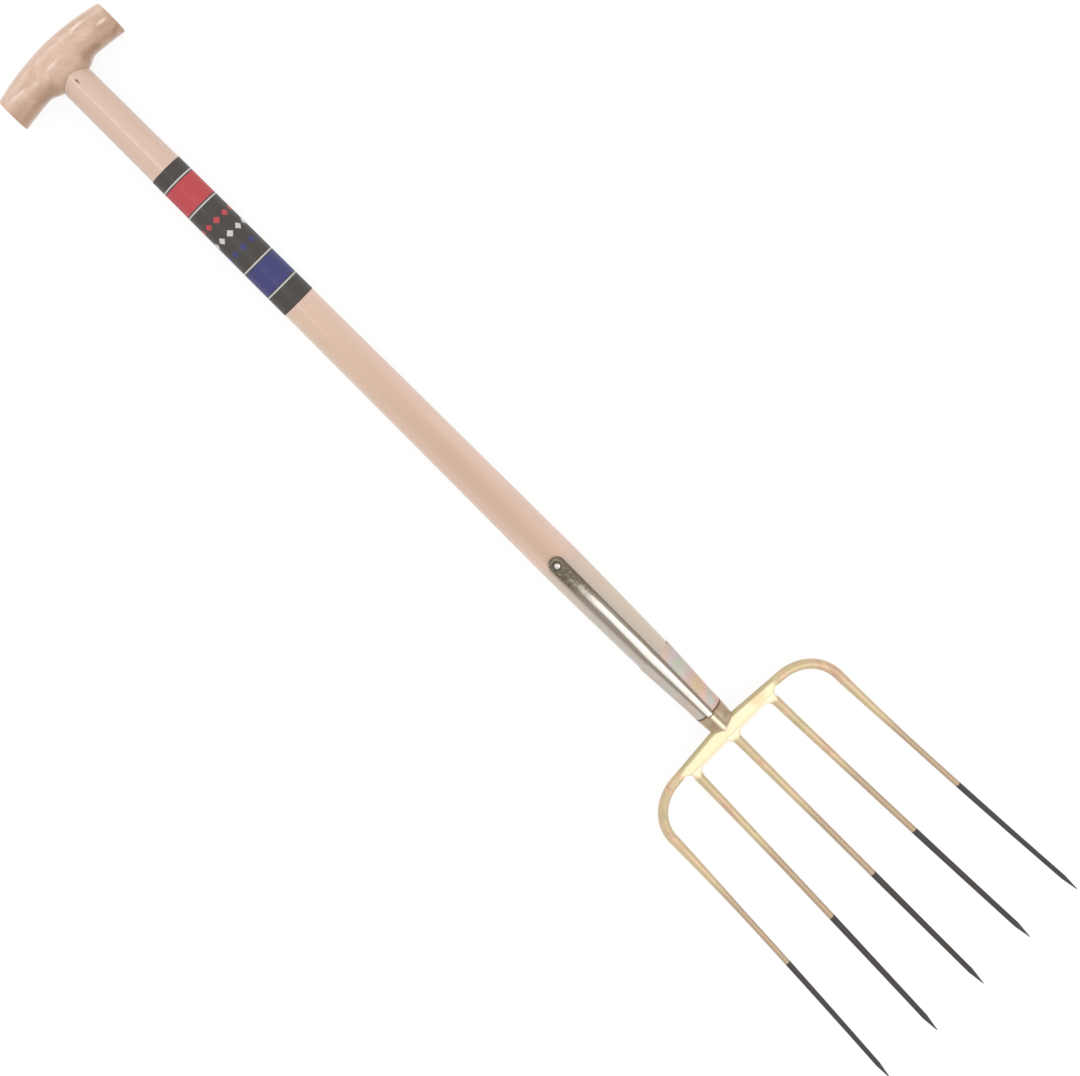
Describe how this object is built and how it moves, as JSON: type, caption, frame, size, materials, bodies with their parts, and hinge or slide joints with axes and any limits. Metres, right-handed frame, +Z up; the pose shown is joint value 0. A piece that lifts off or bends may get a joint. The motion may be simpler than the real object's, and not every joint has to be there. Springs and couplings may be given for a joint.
{
  "type": "manure fork",
  "caption": "Manure fork with a wooden T-grip, a tapered wooden shaft, a steel sleeve and strap, and a forged head with round curved tines dipped in black.",
  "frame": {"origin": "middle of the bounding box's underside, on the surface that the fork lies on", "axes": "+X from the grip to the tips of the tines, +Y across the tines, +Z up out of the front of the fork, where the strap is"},
  "size_m": [1.221, 0.2606, 0.0633],
  "materials": {
    "grip_wood": "gloss lacquered hardwood",
    "shaft_wood": "pale satin lacquered hardwood",
    "label_film": "printed film",
    "zinc_plate": "yellow-passivated zinc plating",
    "rivet_steel": "bright steel",
    "gold_lacquer": "gold-tinted lacquer on forged steel, tips dipped in black"
  },
  "bodies": {
    "root": {"t_grip": "grip_wood", "shaft": "shaft_wood", "grip_nail": "rivet_steel", "label_band": "label_film", "socket_sleeve": "zinc_plate", "front_strap": "zinc_plate", "strap_rivet": "rivet_steel", "rivet_washer": "rivet_steel", "fork_head": "gold_lacquer"}
  },
  "joints": []
}
